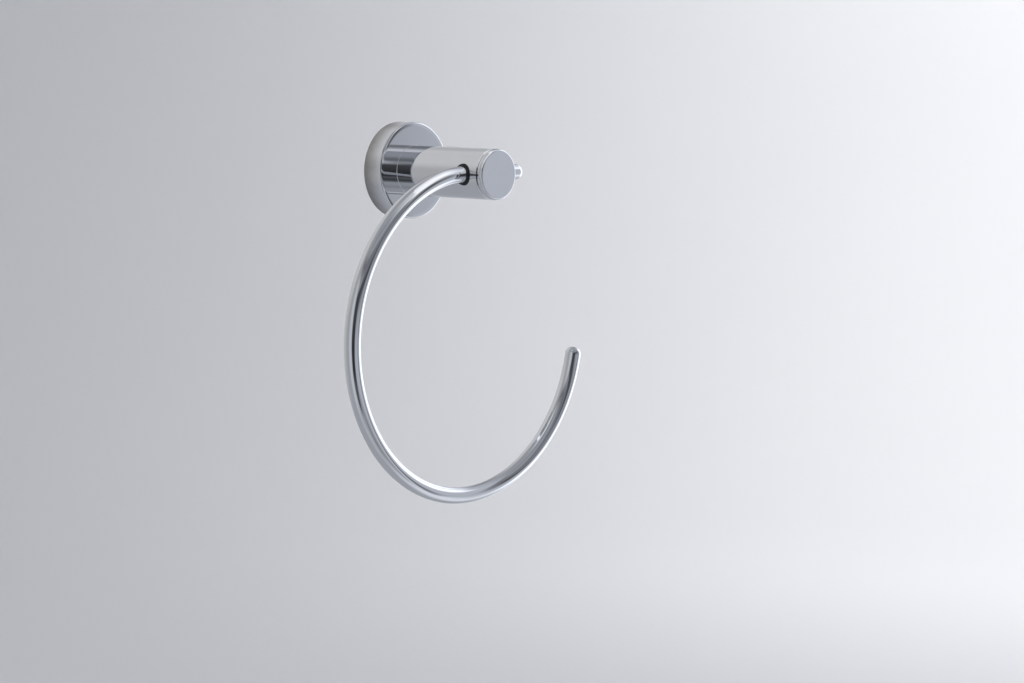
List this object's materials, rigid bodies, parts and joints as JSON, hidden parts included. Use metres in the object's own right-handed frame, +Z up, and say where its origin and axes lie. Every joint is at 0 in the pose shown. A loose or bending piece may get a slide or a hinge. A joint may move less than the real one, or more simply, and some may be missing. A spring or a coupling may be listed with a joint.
{
  "type": "towel ring",
  "caption": "Wall-mounted towel ring: a round rosette and a cylindrical post carry an open ring of round rod that swings in the post and holds a hand towel.",
  "frame": {"origin": "on the wall plane, on the post's axis, midway between the two wall screw holes", "axes": "+Z up, +X right as seen from the front, +Y into the wall; the front faces -Y"},
  "size_m": [0.1644, 0.069, 0.1854],
  "materials": {
    "polished_chrome": "polished chrome plate",
    "black_plastic": "moulded, matt",
    "bracket_metal": "turned, bare",
    "screw_steel": "zinc plated"
  },
  "bodies": {
    "holder": {"wall_bracket": "bracket_metal", "rosette": "polished_chrome", "rosette_set_screw": "screw_steel", "post": "polished_chrome", "post_washer": "screw_steel", "post_screw": "screw_steel", "end_cap": "polished_chrome", "left_bush": "black_plastic", "right_bush": "black_plastic"},
    "swing_ring": {"ring": "polished_chrome", "ring_collar": "screw_steel", "collar_set_screw": "screw_steel"}
  },
  "joints": [
    {"name": "ring_swing", "type": "hinge", "parent": "holder", "child": "swing_ring", "pos_m": [0, -0.0562, 0], "axis": [-1, 0, 0], "range_deg": [-19, 199]}
  ]
}
